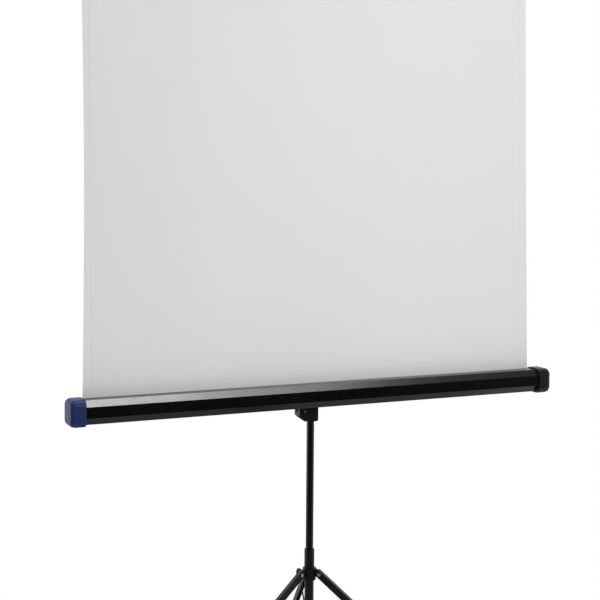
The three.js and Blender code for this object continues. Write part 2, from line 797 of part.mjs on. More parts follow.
// Telescopic extension with the hook arm
function addExtension(parent) {
  const middle = tube(middleRadius, middleRadius - middleWall, middleBottom, middleTop);
  addPart(parent, 'extension_middle', middle, blackTube);
  const bush = endBush(
    middleRadius - middleWall - slideGap, upperRadius + slideGap,
    middleRadius + bushBrim, middleTop, -1,
  );
  addPart(parent, 'extension_bush', bush, blackPlastic);
  const upper = tube(upperRadius, upperRadius - upperWall, upperBottom, upperTop);
  addPart(parent, 'extension_upper', upper, blackTube);

  const socketHalf = upperRadius + slideGap + armSocketWall;
  const notch = slatY - notchFloor;
  const shape = outline([
    [socketHalf, armTop], [socketHalf, armTop - armRearDepth],
    [-armFront, armTop - armFrontDepth], [-armFront, armTop + armLipHeight],
    [-armFront + armLipThickness, armTop + armLipHeight], [-armFront + armLipThickness, armTop],
    [notch - notchRun, armTop], [notch, notchHeight],
    [slatY + notchFloor, notchHeight], [slatY + notchFloor + notchDepth, armTop],
  ]);
  const arm = slabYZ(shape, -armThickness / 2, armThickness / 2);
  const socket = rod('z', socketHalf, armTop - armSocketDepth, armTop, tubeSides);
  const bore = rod(
    'z', upperRadius + slideGap, armTop - armSocketDepth - overrun, upperTop + seatGap, tubeSides,
  );
  addPart(parent, 'hook_arm', cut(joined(arm, socket), bore), blackPlastic);
}

// The case outline in Y and Z, about the case's centre
function caseOutline() {
  return caseOutlineShares.map(([y, z]) => [y * caseDepth / 2, z * caseHeight / 2]);
}

function addCase(parent) {
  const frame = new THREE.Group();
  frame.position.set(0, caseCentreY, caseCentreHeight);
  parent.add(frame);
  const outer = caseOutline();
  const hollow = slabYZ(outline(inset(outer, caseWall)), -shellHalf - overrun, shellHalf + overrun);
  const slotCentre = slotY - caseCentreY;
  const slot = block(
    [-shellHalf - overrun, shellHalf + overrun],
    [slotCentre - slotWidth / 2, slotCentre + slotWidth / 2], [0, caseHeight],
  );
  const screwX = saddleScrewX();
  const backHoles = [-screwX, screwX].map((x) => rod(
    'y', saddleScrewRadius + seatGap, 0, caseDepth,
  ).translate(x, 0, 0));
  const capHoles = [-1, 1].map((side) => rod(
    'z', capScrewRadius + seatGap, -caseHeight, 0,
  ).translate(side * (capInner + capScrewInset), 0, 0));
  const shell = cut(
    solid(slabYZ(outline(outer), -shellHalf, shellHalf)), hollow, slot, ...backHoles, ...capHoles,
  );
  addPart(frame, 'case_shell', shell, blackPaint);
  addCap(frame, 'end_cap_left', -1, bluePlastic);
  addCap(frame, 'end_cap_right', 1, blackPlastic);
}

// A moulded cap with a pocket for the case and a socket for the roller's pin
function addCap(frame, name, side, material) {
  const half = capSize / 2;
  const flat = half - capCorner;
  const corner = (shape, y, z, from) => shape.absarc(y, z, capCorner, from, from + Math.PI / 2);
  const shape = new THREE.Shape();
  corner(shape, flat, flat, 0);
  corner(shape, -flat, flat, Math.PI / 2);
  corner(shape, -flat, -flat, Math.PI);
  corner(shape, flat, -flat, 3 * Math.PI / 2);
  const options = {
    depth: capLength, bevelEnabled: true, bevelSegments: capEdgeSteps, curveSegments: cornerSegments,
    bevelThickness: capEdge, bevelSize: capEdge, bevelOffset: -capEdge,
  };
  const turn = new THREE.Matrix4().makeBasis(
    new THREE.Vector3(0, 1, 0), new THREE.Vector3(0, 0, 1), new THREE.Vector3(1, 0, 0),
  );
  const bodyShape = new THREE.ExtrudeGeometry(shape, options)
    .applyMatrix4(turn)
    .translate(capOuter - capLength - capEdge, 0, 0);
  const inside = block([0, capInner], [-capSize, capSize], [-capSize, capSize]);
  const pocketEnd = shellHalf + seatGap;
  const pocket = slabYZ(
    outline(inset(caseOutline(), -seatGap)), capInner - overrun, pocketEnd,
  );
  const socket = rod('x', gudgeonRadius + seatGap, capInner, pocketEnd + gudgeonSocket)
    .translate(0, rollerOffset, 0);
  const screwX = capInner + capScrewInset;
  const screwFace = -half + seatGap;
  const screwHole = rod('z', capScrewRadius + seatGap, -capSize, 0).translate(screwX, 0, 0);
  const headRoom = rod(
    'z', capScrewHeadRadius + seatGap, -capSize,
    screwFace + capScrewHeadThickness + seatGap,
  ).translate(screwX, 0, 0);
  const cap = cut(solid(bodyShape), inside, pocket, socket, screwHole, headRoom);
  const placed = side < 0 ? cap.mirror([1, 0, 0]) : cap;
  addPart(frame, name, placed, material);

  const tip = -caseHeight / 2 + caseWall + capScrewTail;
  const capScrew = screw(
    capScrewRadius, capScrewHeadRadius, capScrewHeadThickness, tip - screwFace,
  );
  capScrew.rotateX(Math.PI / 2).translate(side * screwX, 0, screwFace);
  const sideName = side < 0 ? 'left' : 'right';
  addPart(frame, `cap_screw_${sideName}`, capScrew, zincSteel);
}

function saddleScrewX() {
  return saddleHalfWidth + saddleFoot / 2;
}

// Saddle, a hat section that leaves room for the pivot bolt's head
function addSaddle(parent) {
  const feetFront = caseBack + seatGap;
  const feetBack = feetFront + saddlePlate;
  const end = saddleHalfWidth + saddleFoot;
  const inner = saddleHalfWidth - saddlePlate;
  const rightHalf = [
    [inner, saddleFront], [inner, feetFront], [end, feetFront], [end, feetBack],
    [saddleHalfWidth, feetBack], [saddleHalfWidth, saddleBack],
  ];
  const leftHalf = rightHalf.map(([x, y]) => [-x, y]).reverse();
  const half = saddleHeight / 2;
  const hat = slabXY(outline([...rightHalf, ...leftHalf]), -half, half);
  const screwX = saddleScrewX();
  const holes = [-screwX, screwX].map((x) => rod(
    'y', saddleScrewRadius + seatGap, caseBack, 0,
  ).translate(x, 0, 0));
  const boltHole = rod('y', boltRadius + seatGap, caseBack, 0);
  const saddle = cut(solid(hat), ...holes, boltHole).translate([0, 0, caseCentreHeight]);
  addPart(parent, 'case_saddle', saddle, blackPaint);
  const headTopY = feetBack + seatGap + saddleScrewHeadThickness;
  const length = headTopY - (caseBack - caseWall - saddleScrewTail);
  for (const [sideName, side] of [['left', -1], ['right', 1]]) {
    const shape = screw(
      saddleScrewRadius, saddleScrewHeadRadius, saddleScrewHeadThickness, length,
    );
    shape.rotateZ(Math.PI).translate(side * screwX, headTopY, caseCentreHeight);
    addPart(parent, `saddle_screw_${sideName}`, shape, zincSteel);
  }
}

// Roller with its plugs, spring and the cloth that stays wound on it
function addRoller(parent) {
  const frame = new THREE.Group();
  frame.position.set(0, rollerY, caseCentreHeight);
  parent.add(frame);
  const half = clothWidth / 2 + rollerBeyondCloth;
  const inner = rollerRadius - rollerWall;
  const along = (geometry) => geometry.rotateY(Math.PI / 2);
  addPart(frame, 'roller_tube', along(tube(rollerRadius, inner, -half, half)), zincSteel);
  const wound = tube(
    woundRadius, rollerRadius + seatGap, -clothWidth / 2, clothWidth / 2, tubeSides,
  );
  addPart(frame, 'wound_cloth', along(wound), greyCloth);

  const plugInner = half - plugLength;
  const flange = [half + seatGap, half + seatGap + plugFlange];
  const pinEnd = shellHalf + gudgeonSocket;
  const rightPlug = joined(
    rod('x', inner - slideGap, plugInner, flange[1], tubeSides),
    rod('x', rollerRadius, flange[0], flange[1], tubeSides),
    rod('x', gudgeonRadius, plugInner, pinEnd),
  );
  addPart(frame, 'roller_plug_right', rightPlug, blackPlastic);
  const leftPlug = joined(
    rod('x', inner - slideGap, -flange[1], -plugInner, tubeSides),
    rod('x', rollerRadius, -flange[1], -flange[0], tubeSides),
  );
  const bore = rod('x', gudgeonRadius + seatGap, -flange[1] - overrun, -plugInner + overrun);
  addPart(frame, 'roller_plug_left', cut(leftPlug, bore), blackPlastic);

  const springStart = -plugInner + springWireRadius + seatGap;
  const turns = 2 * Math.PI * springTurns;
  class Helix extends THREE.Curve {
    getPoint(share) {
      const angle = turns * share;
      const y = springCoilRadius * Math.cos(angle);
      const z = springCoilRadius * Math.sin(angle);
      return new THREE.Vector3(springStart + springLength * share, y, z);
    }
  }
  const wire = new THREE.Shape();
  for (let i = 0; i < springSides; i += 1) {
    const angle = 2 * Math.PI * i / springSides;
    const point = [springWireRadius * Math.cos(angle), springWireRadius * Math.sin(angle)];
    if (i === 0) wire.moveTo(...point);
    else wire.lineTo(...point);
  }
  const spring = new THREE.ExtrudeGeometry(wire, {
    steps: springTurns * springStepsPerTurn, extrudePath: new Helix(), bevelEnabled: false,
  });
  addPart(frame, 'roller_spring', spring, zincSteel);

  const blocker = rod('x', gudgeonRadius, -shellHalf - gudgeonSocket, -half + blockerPinReach);
  addPart(frame, 'roller_pin_left', blocker, zincSteel);
}

// The pulled-up cloth, which leans back from the case's slot to the slat
function addCloth(parent) {
  const bottom = caseCentreHeight;
  const height = clothTop - bottom;
  const cloth = new THREE.BoxGeometry(clothWidth, clothThickness, height);
  const shear = new THREE.Matrix4().set(1, 0, 0, 0, 0, 1, clothLean, 0, 0, 0, 1, 0, 0, 0, 0, 1);
  cloth.translate(0, 0, height / 2).applyMatrix4(shear).translate(0, clothBottomY, bottom);
  addPart(parent, 'screen_cloth', cloth, greyCloth);
}

// Slat with end caps and the bail that hangs on the hook arm
function addSlat(parent) {
  const frame = new THREE.Group();
  frame.position.set(0, slatY, slatBottom);
  parent.add(frame);
  const half = slatHalf - slatCapFloor;
  const depth = [-slatDepth / 2, slatDepth / 2];
  const section = chamferedRectangle(depth, [0, slatHeight], slatChamfer);
  const groove = block(
    [-slatHalf, slatHalf], [-slatGroove / 2, slatGroove / 2], [-overrun, slatGrooveDepth],
  );
  const footHoles = [-1, 1].map((side) => rod(
    'z', bailWireRadius + seatGap, slatHeight - bailFoot - seatGap, slatHeight + overrun,
  ).translate(side * bailHalfWidth, 0, 0));
  const hollow = block(
    [-slatHalf, slatHalf], [-slatDepth / 2 + slatWall, slatDepth / 2 - slatWall],
    [slatGrooveDepth + slatWall, slatHeight - slatWall],
  );
  const slat = cut(solid(slabYZ(outline(section), -half, half)), groove, hollow, ...footHoles);
  addPart(frame, 'top_slat', slat, blackAluminium);

  const start = slatHalf - slatCapLength;
  const outer = outline(inset(section, -slatCapWall - seatGap));
  const pocket = slabYZ(outline(inset(section, -seatGap)), start - overrun, half + seatGap);
  const clothRoom = block([0, clothWidth / 2 + seatGap], depth, [-slatHeight, slatGrooveDepth]);
  const cap = cut(solid(slabYZ(outer, start, slatHalf)), pocket, clothRoom);
  addPart(frame, 'slat_cap_right', cap, blackPlastic);
  addPart(frame, 'slat_cap_left', cap.mirror([1, 0, 0]), blackPlastic);

  const side = bailHalfWidth;
  const top = slatHeight + bailHeight;
  const foot = slatHeight - bailFoot;
  const path = new THREE.CurvePath();
  const at = (x, z) => new THREE.Vector3(x, 0, z);
  path.add(new THREE.LineCurve3(at(-side, foot), at(-side, top - bailCorner)));
  path.add(new THREE.QuadraticBezierCurve3(
    at(-side, top - bailCorner), at(-side, top), at(-side + bailCorner, top),
  ));
  path.add(new THREE.LineCurve3(at(-side + bailCorner, top), at(side - bailCorner, top)));
  path.add(new THREE.QuadraticBezierCurve3(
    at(side - bailCorner, top), at(side, top), at(side, top - bailCorner),
  ));
  path.add(new THREE.LineCurve3(at(side, top - bailCorner), at(side, foot)));
  const wire = new THREE.Shape();
  wire.absarc(0, 0, bailWireRadius, 0, 2 * Math.PI);
  const bail = new THREE.ExtrudeGeometry(wire, {
    steps: bailSteps, extrudePath: path, bevelEnabled: false, curveSegments: bailSides,
  });
  addPart(frame, 'slat_bail', bail, zincSteel);
}

addBase(screen);
addHub(screen);
addLockKnob(screen);
for (let i = 0; i < legCount; i += 1) addLeg(screen, i);
addRunner(screen);
addColumn(screen);
addHead(screen);
addReleaseLever(screen);
addExtension(screen);
addSaddle(screen);
addCase(screen);
addRoller(screen);
addCloth(screen);
addSlat(screen);

// The origin lies on the floor under the middle of the whole screen's depth
const footprint = new THREE.Box3().setFromObject(screen, true);
screen.position.y = -(footprint.min.y + footprint.max.y) / 2;

export default screen;
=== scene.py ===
"""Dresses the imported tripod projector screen: detailed pieces, finishes, studio and camera. Metres."""

import json
import math

import bmesh
import bpy
from mathutils import Matrix, Vector

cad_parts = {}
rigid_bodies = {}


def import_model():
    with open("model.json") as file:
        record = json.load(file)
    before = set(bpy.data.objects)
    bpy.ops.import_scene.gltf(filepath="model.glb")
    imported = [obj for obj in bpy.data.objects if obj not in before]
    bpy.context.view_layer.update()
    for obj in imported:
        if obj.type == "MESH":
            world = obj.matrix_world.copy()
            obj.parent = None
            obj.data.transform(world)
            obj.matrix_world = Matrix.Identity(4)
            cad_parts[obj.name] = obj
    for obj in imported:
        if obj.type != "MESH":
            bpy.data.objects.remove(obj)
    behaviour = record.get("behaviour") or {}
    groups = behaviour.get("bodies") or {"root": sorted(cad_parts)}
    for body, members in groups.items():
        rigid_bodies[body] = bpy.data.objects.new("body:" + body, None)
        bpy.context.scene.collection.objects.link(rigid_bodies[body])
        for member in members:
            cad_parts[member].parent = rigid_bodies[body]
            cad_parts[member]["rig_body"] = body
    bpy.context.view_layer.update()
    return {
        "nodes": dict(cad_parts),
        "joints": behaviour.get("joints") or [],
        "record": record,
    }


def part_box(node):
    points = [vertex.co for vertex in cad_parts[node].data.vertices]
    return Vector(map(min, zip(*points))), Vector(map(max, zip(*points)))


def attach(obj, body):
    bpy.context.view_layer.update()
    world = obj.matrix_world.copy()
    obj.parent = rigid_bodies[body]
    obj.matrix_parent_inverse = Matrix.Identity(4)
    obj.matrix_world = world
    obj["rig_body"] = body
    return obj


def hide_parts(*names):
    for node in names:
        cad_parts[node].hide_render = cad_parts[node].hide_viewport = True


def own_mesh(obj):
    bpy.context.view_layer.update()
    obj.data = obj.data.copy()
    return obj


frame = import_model()
nodes = frame["nodes"]

MM = 0.001
DEGREE = math.pi / 180


# Places that the frame gives
def middle(node):
    low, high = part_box(node)
    return (low + high) / 2


column_x, column_y = middle("column_tube")[:2]
case_z = middle("case_shell").z
roller_y = middle("roller_tube").y


# Camera, at the place from which the photograph was taken
FOCAL_PIXELS = 1500
PHOTO_PIXELS = 600
AXIS_ROW = 200
SENSOR_WIDTH = 36
CAMERA_FROM_CASE = Vector((-1.965, -4.182, 0.789))
CAMERA_YAW = 24.698 * DEGREE
CAMERA_PITCH = 2.472 * DEGREE
CAMERA_ROLL = 0.455 * DEGREE


def add_camera():
    data = bpy.data.cameras.new("photo_camera")
    data.sensor_width = SENSOR_WIDTH
    data.lens = FOCAL_PIXELS / PHOTO_PIXELS * SENSOR_WIDTH
    data.shift_y = (AXIS_ROW - PHOTO_PIXELS / 2) / PHOTO_PIXELS
    forward = Vector((
        math.sin(CAMERA_YAW) * math.cos(CAMERA_PITCH),
        math.cos(CAMERA_YAW) * math.cos(CAMERA_PITCH),
        -math.sin(CAMERA_PITCH),
    ))
    right = Vector((math.cos(CAMERA_YAW), -math.sin(CAMERA_YAW), 0))
    level = Matrix((right, right.cross(forward), -forward)).transposed()
    camera = bpy.data.objects.new("photo_camera", data)
    place = Vector((column_x, column_y, case_z)) + CAMERA_FROM_CASE
    turn = level @ Matrix.Rotation(CAMERA_ROLL, 3, "Z")
    camera.matrix_world = Matrix.Translation(place) @ turn.to_4x4()
    bpy.context.scene.collection.objects.link(camera)
    bpy.context.scene.camera = camera


# Numbers of the sockets that are used of Blender's nodes
COORDINATE_GENERATED = 0
COORDINATE_OBJECT = 3
RAY_IS_CAMERA = 0
RAY_IS_GLOSSY = 3
VECTOR_LENGTH = 1
MIX_SHARE = 0
MIX_FIRST_COLOR = 6
MIX_SECOND_COLOR = 7
MIX_COLOR = 2


class Shade:
    """One output of a shader node. Python's operators on it add the nodes of the sum."""

    def __init__(self, owner, socket):
        self.owner = owner
        self.socket = socket

    def math(self, operation, *values):
        return self.owner.node("ShaderNodeMath", {"operation": operation}, *values)[0]

    def __add__(self, other):
        return self.math("ADD", self, other)

    def __radd__(self, other):
        return self.math("ADD", other, self)

    def __sub__(self, other):
        return self.math("SUBTRACT", self, other)

    def __rsub__(self, other):
        return self.math("SUBTRACT", other, self)

    def __mul__(self, other):
        return self.math("MULTIPLY", self, other)

    def __truediv__(self, other):
        return self.math("DIVIDE", self, other)

    def __abs__(self):
        return self.math("ABSOLUTE", self)

    def sine(self):
        return self.math("SINE", self)

    def capped(self):
        return self.math("MAXIMUM", self.math("MINIMUM", self, 1), 0)


class Tree:
    """A node tree with one way to add a node: its type, its settings, then its inputs."""

    def __init__(self, data):
        self.data = data

    def node(self, kind, settings=None, *values, **named):
        made = self.data.nodes.new(kind)
        for key, value in (settings or {}).items():
            setattr(made, key, value)
        inputs = dict(enumerate(values))
        inputs.update({key.replace("_", " "): value for key, value in named.items()})
        for key, value in inputs.items():
            self.feed(made.inputs[key], value)
        return [Shade(self, socket) for socket in made.outputs]

    def feed(self, socket, value):
        if isinstance(value, Shade):
            self.data.links.new(value.socket, socket)
        else:
            socket.default_value = value

    def mixed(self, share, first, second):
        made = self.node("ShaderNodeMix", {"data_type": "RGBA"})
        inputs = made[MIX_COLOR].socket.node.inputs
        self.feed(inputs[MIX_SHARE], share)
        self.feed(inputs[MIX_FIRST_COLOR], first)
        self.feed(inputs[MIX_SECOND_COLOR], second)
        return made[MIX_COLOR]

    def stretched(self, place, scale):
        return self.node("ShaderNodeMapping", None, Vector=place, Scale=scale)[0]

    def noise(self, place, scale, detail=3):
        return self.node(
            "ShaderNodeTexNoise", None, Vector=place, Scale=scale, Detail=detail, Roughness=0.5,
        )[0]

    def parts(self, place):
        return self.node("ShaderNodeSeparateXYZ", None, place)


def rgb(color):
    return (*color, 1)


def shaded(color, share):
    return tuple(value * share for value in color)


def swung(base, *swings):
    """The base value, moved up and down by each noise through that noise's swing."""
    for noise, swing in swings:
        base = base + (noise - 0.5) * swing
    return base


class Finish(Tree):
    """A material around one shader. Constants are set on the shader's own sockets."""

    def __init__(self, name, **constants):
        self.material = bpy.data.materials.new(name)
        self.material.use_nodes = True
        super().__init__(self.material.node_tree)
        self.shader = self.data.nodes["Principled BSDF"]
        self.place = self.node("ShaderNodeTexCoord")[COORDINATE_OBJECT]
        for key, value in constants.items():
            self.set(key, value)

    def set(self, key, value):
        self.feed(self.shader.inputs[key.replace("_", " ")], value)

    def bump(self, height, depth):
        made = self.node("ShaderNodeBump", None, Height=height, Distance=depth, Strength=1.0)[0]
        self.set("Normal", made)


# Colours of the finishes
CASE_BLACK = (0.0011, 0.0014, 0.0016)
TUBE_BLACK = (0.0008, 0.0009, 0.0010)
PLASTIC_BLACK = (0.0019, 0.0020, 0.0019)
CAP_BLUE = (0.014, 0.026, 0.118)
RUBBER_BLACK = (0.008, 0.008, 0.008)
ZINC = (0.60, 0.61, 0.63)
SLAT_BLACK = (0.016, 0.016, 0.018)
CLOTH_GREY = (0.69, 0.69, 0.693)

# Sprayed paint
PAINT_SHEEN = 0.5
PEEL_DEPTH = 0.04 * MM
RUBBED_ALONG = (0.4, 14, 14)
PAINT_DUST_FROM = 0.66
PAINT_DUST_STEEPNESS = 9
PAINT_DUST_SHARE = 0.2
PAINT_DUST_PALENESS = 9


def painted(name, color, roughness):
    """Sprayed paint on steel: a fine orange peel, faint rubbing and a little dust."""
    paint = Finish(name, Metallic=0.0, Specular_IOR_Level=PAINT_SHEEN)
    cloud = paint.noise(paint.place, scale=9)
    rubbed = paint.noise(paint.stretched(paint.place, RUBBED_ALONG), scale=24, detail=4)
    specks = paint.noise(paint.place, scale=620, detail=2)
    dust = ((specks - PAINT_DUST_FROM) * PAINT_DUST_STEEPNESS).capped() * PAINT_DUST_SHARE
    paint.set("Base_Color", paint.mixed(dust, rgb(color), rgb(shaded(color, PAINT_DUST_PALENESS))))
    paint.set("Roughness", swung(roughness, (cloud, 0.08), (rubbed, 0.06)) + dust)
    paint.bump(paint.noise(paint.place, scale=900, detail=2), PEEL_DEPTH)
    return paint.material


# Moulded plastic
GRAIN_DEPTH = 0.06 * MM
PLASTIC_CLOUD_FROM = 0.3
PLASTIC_DARKEST = 0.86
PLASTIC_LIGHTEST = 1.12


def moulded(name, color, roughness, sheen):
    """Moulded plastic: a fine spark-eroded grain and slow changes of gloss."""
    plastic = Finish(name, Metallic=0.0, Specular_IOR_Level=sheen)
    cloud = plastic.noise(plastic.place, scale=26)
    grit = plastic.noise(plastic.place, scale=1500, detail=2)
    share = (cloud - PLASTIC_CLOUD_FROM).capped()
    dark, light = rgb(shaded(color, PLASTIC_DARKEST)), rgb(shaded(color, PLASTIC_LIGHTEST))
    plastic.set("Base_Color", plastic.mixed(share, dark, light))
    plastic.set("Roughness", swung(roughness, (cloud, 0.1), (grit, 0.08)))
    plastic.bump(grit, GRAIN_DEPTH)
    return plastic.material


# Rubber
RUBBER_SHEEN = 0.25
RUBBER_ROUGHNESS = 0.78
RUBBER_GRAIN_DEPTH = 0.12 * MM
RUBBER_DUST_FROM = 0.42
RUBBER_DUST_STEEPNESS = 2
RUBBER_DUST_PALENESS = 3.4
RUBBER_DUST_DULLNESS = 0.12


def rubber():
    """Rubber with a dusty, dull skin."""
    skin = Finish("rubber", Metallic=0.0, Specular_IOR_Level=RUBBER_SHEEN)
    cloud = skin.noise(skin.place, scale=40, detail=5)
    dust = (cloud - RUBBER_DUST_FROM).capped() * RUBBER_DUST_STEEPNESS
    dusty = rgb(shaded(RUBBER_BLACK, RUBBER_DUST_PALENESS))
    skin.set("Base_Color", skin.mixed(dust.capped(), rgb(RUBBER_BLACK), dusty))
    skin.set("Roughness", RUBBER_ROUGHNESS + dust * RUBBER_DUST_DULLNESS)
    skin.bump(skin.noise(skin.place, scale=1100, detail=3), RUBBER_GRAIN_DEPTH)
    return skin.material


# Drawn or anodised metal
DRAWING_DEPTH = 0.03 * MM
METAL_DARKEST = 0.82


def plated(name, color, roughness, along):
    """A plated or anodised metal, with fine drawing lines along one axis."""
    metal = Finish(name, Metallic=1.0)
    lines = metal.noise(metal.stretched(metal.place, along), scale=500, detail=3)
    cloud = metal.noise(metal.place, scale=60)
    metal.set("Base_Color", metal.mixed(cloud, rgb(shaded(color, METAL_DARKEST)), rgb(color)))
    metal.set("Roughness", swung(roughness, (lines, 0.16), (cloud, 0.1)))
    metal.bump(lines, DRAWING_DEPTH)
    return metal.material


# Coated projection cloth
CLOTH_ROUGHNESS = 0.9
CLOTH_SHEEN = 0.12
CLOTH_RELIEF = 0.05 * MM
THREADS = 4200
WEAVE_HEIGHT = 0.3
CLOUD_HEIGHT = 8
EDGE_LINE_HEIGHT = 4
CLOTH_CLOUD_STRETCH = (1, 1, 0.5)
CLOTH_DARKEST = 0.975
CLOTH_LIGHTEST = 1.015
EDGE_LINE_INSET = 0.028
EDGE_LINE_WIDTH = 0.0014
# Painted shade in the pressed crease near each edge: how dark it is and how strongly it is mixed in
EDGE_CREASE_SHADE_DARKNESS = 0.72
EDGE_CREASE_SHADE_SHARE = 0.35


def projection_cloth():
    """Matt coated projection cloth: fine weave under the coat, and a pressed crease near each edge, dented
    and painted darker as shade.
    """
    cloth = Finish(
        "projection_cloth", Metallic=0.0, Roughness=CLOTH_ROUGHNESS, Specular_IOR_Level=CLOTH_SHEEN,
    )
    x, y, z = cloth.parts(cloth.place)
    weave = (x * THREADS).sine() * (z * THREADS).sine()
    cloud = cloth.noise(cloth.stretched(cloth.place, CLOTH_CLOUD_STRETCH), scale=2.2, detail=2)
    low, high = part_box("screen_cloth")
    line_x = (high.x - low.x) / 2 - EDGE_LINE_INSET
    line = (1 - abs(abs(x) - line_x) / EDGE_LINE_WIDTH).capped()
    dark, light = rgb(shaded(CLOTH_GREY, CLOTH_DARKEST)), rgb(shaded(CLOTH_GREY, CLOTH_LIGHTEST))
    # The crease colour is painted shade: the cloth is darkened along the dented line
    crease_shade = rgb(shaded(CLOTH_GREY, EDGE_CREASE_SHADE_DARKNESS))
    tone = cloth.mixed(cloud, dark, light)
    cloth.set("Base_Color", cloth.mixed(line * EDGE_CREASE_SHADE_SHARE, tone, crease_shade))
    cloth.bump(weave * WEAVE_HEIGHT - line * EDGE_LINE_HEIGHT + cloud * CLOUD_HEIGHT, CLOTH_RELIEF)
    return cloth.material


def make_finishes():
    return {
        "case_black": painted("case_paint", CASE_BLACK, roughness=0.24),
        "tube_black": painted("tube_paint", TUBE_BLACK, roughness=0.33),
        "slat_black": plated("slat_anodised", SLAT_BLACK, roughness=0.42, along=(0.01, 1, 1)),
        "plastic_black": moulded("black_plastic", PLASTIC_BLACK, roughness=0.42, sheen=0.4),
        "plastic_blue": moulded("blue_plastic", CAP_BLUE, roughness=0.44, sheen=0.2),
        "rubber_black": rubber(),
        "steel_zinc": plated("zinc_steel", ZINC, roughness=0.3, along=(1, 1, 0.05)),
        "cloth_grey": projection_cloth(),
    }


# Studio: what mirror-like rays see is white behind and beside the object, and dark before it
AMBIENT = 0.48
BACK_STEEPNESS = 1.6
BACK_START = 0.35
LEVEL_FALLOFF = 1.4
SIDE_FROM = 0.42
SIDE_STEEPNESS = 4
SIDE_GLOW = 0.9
PALE_GLOSS = 0.95
DARK_GLOSS = 0.04


def beside(x, y):
    """One beside and behind the object as the camera sees it, zero on the camera's side."""
    ahead = x * -math.sin(CAMERA_YAW) - y * math.cos(CAMERA_YAW)
    return ((SIDE_FROM - ahead) * SIDE_STEEPNESS).capped()


def add_world():
    world = bpy.data.worlds.new("studio")
    world.use_nodes = True
    bpy.context.scene.world = world
    tree = Tree(world.node_tree)
    ray = tree.node("ShaderNodeLightPath")
    camera_ray, glossy_ray = ray[RAY_IS_CAMERA], ray[RAY_IS_GLOSSY]
    x, y, z = tree.parts(tree.node("ShaderNodeTexCoord")[COORDINATE_GENERATED])
    behind = (y * BACK_STEEPNESS + BACK_START).capped()
    level = (1 - abs(z) * LEVEL_FALLOFF).capped()
    pale = (behind + beside(x, y) * level).capped()
    seen = camera_ray + (1 - camera_ray) * glossy_ray * (pale * PALE_GLOSS + DARK_GLOSS)
    other = (1 - camera_ray) * (1 - glossy_ray)
    background = world.node_tree.nodes["Background"]
    background.inputs["Color"].default_value = (1, 1, 1, 1)
    tree.feed(background.inputs["Strength"], seen + other * AMBIENT)


# Floor: distances from the object's middle, and what mirror-like rays see on it
FLOOR_RADIUS = 9
FLOOR_SIDES = 96
FLOOR_GREY = (0.86, 0.86, 0.86)
FLOOR_ROUGHNESS = 0.9
SHADOW_REACH = 0.5
WHITE_FROM = 0.9
GLOSS_REACH = 1.1
DARK_FROM = 1.8
NEAR_DIMMING = 0.62


def floor_material():
    """Pale floor that is white to the camera away from the object, and keeps the shadow near it."""
    material = bpy.data.materials.new("studio_floor")
    material.use_nodes = True
    tree = Tree(material.node_tree)
    matt = material.node_tree.nodes["Principled BSDF"]
    matt.inputs["Base Color"].default_value = rgb(FLOOR_GREY)
    matt.inputs["Roughness"].default_value = FLOOR_ROUGHNESS
    matt.inputs["Specular IOR Level"].default_value = 0
    place = tree.node("ShaderNodeTexCoord")[COORDINATE_OBJECT]
    away = tree.node("ShaderNodeVectorMath", {"operation": "LENGTH"}, place)[VECTOR_LENGTH]
    share = ((away - SHADOW_REACH) / (WHITE_FROM - SHADOW_REACH)).capped()
    ray = tree.node("ShaderNodeLightPath")
    glow = tree.node("ShaderNodeEmission", None, (1, 1, 1, 1), 1.0)[0]
    plain = Shade(tree, matt.outputs[0])
    seen = tree.node("ShaderNodeMixShader", None, share * ray[RAY_IS_CAMERA], plain, glow)[0]
    far = ((away - GLOSS_REACH) / (DARK_FROM - GLOSS_REACH)).capped()
    x, y, z = tree.parts(place)
    sides = beside(x / away, y / away) * far * SIDE_GLOW
    mirrored = tree.node("ShaderNodeEmission", None, (1, 1, 1, 1), sides)[0]
    dim = (far * (1 - NEAR_DIMMING) + NEAR_DIMMING) * ray[RAY_IS_GLOSSY]
    mix = tree.node("ShaderNodeMixShader", None, dim, seen, mirrored)[0]
    tree.feed(material.node_tree.nodes["Material Output"].inputs["Surface"], mix)
    return material


def add_floor():
    bpy.ops.mesh.primitive_circle_add(vertices=FLOOR_SIDES, radius=FLOOR_RADIUS, fill_type="NGON")
    floor = bpy.context.object
    floor.name = "studio_floor"
    floor.data.materials.append(floor_material())


# Lamps: place, the point that each looks at, width and height, and power
LAMPS = {
    "key": {"place": (0.55, -2.8, 2.35), "at": (0.4, 0, 1.7), "size": (1.5, 1.5), "watts": 38},
    "fill": {"place": (-3.4, -3.2, 2.2), "at": (0, 0, 1.2), "size": (2.0, 2.0), "watts": 6},
    "overhead_left": {
        "place": (0.2, -0.2, 5.0), "at": (0.2, -0.2, 0), "size": (1.7, 0.8), "watts": 84,
    },
    "overhead_right": {
        "place": (1.55, -0.2, 5.0), "at": (1.55, -0.2, 0), "size": (1.0, 0.8), "watts": 20,
    },
    "rim": {"place": (-2.6, 1.6, 1.0), "at": (0, 0, 0.7), "size": (0.5, 1.6), "watts": 16},
}


def add_lamps():
    for name, lamp in LAMPS.items():
        data = bpy.data.lights.new(name, "AREA")
        data.shape = "RECTANGLE"
        data.size, data.size_y = lamp["size"]
        data.energy = lamp["watts"]
        made = bpy.data.objects.new(name, data)
        made.location = lamp["place"]
        aim = Vector(lamp["at"]) - made.location
        made.rotation_euler = aim.to_track_quat("-Z", "Y").to_euler()
        made.visible_camera = False
        bpy.context.scene.collection.objects.link(made)


# Ways of making pieces
MERGE_REACH = 0.02 * MM
WELD_REACH = 0.01 * MM
FLAT_WITHIN = 1 * DEGREE
SMOOTH_ANGLE = 35 * DEGREE
BEVEL_FROM = 28 * DEGREE
BEVEL_SEGMENTS = 3
TURN_STEPS = 64
CORNER_SEGMENTS = 3
CORNER_SHARE_OF_SIDE = 0.45
WIRE_SIDES = 16


def deselect():
    bpy.ops.object.select_all(action="DESELECT")


def take(piece):
    deselect()
    piece.select_set(True)
    bpy.context.view_layer.objects.active = piece


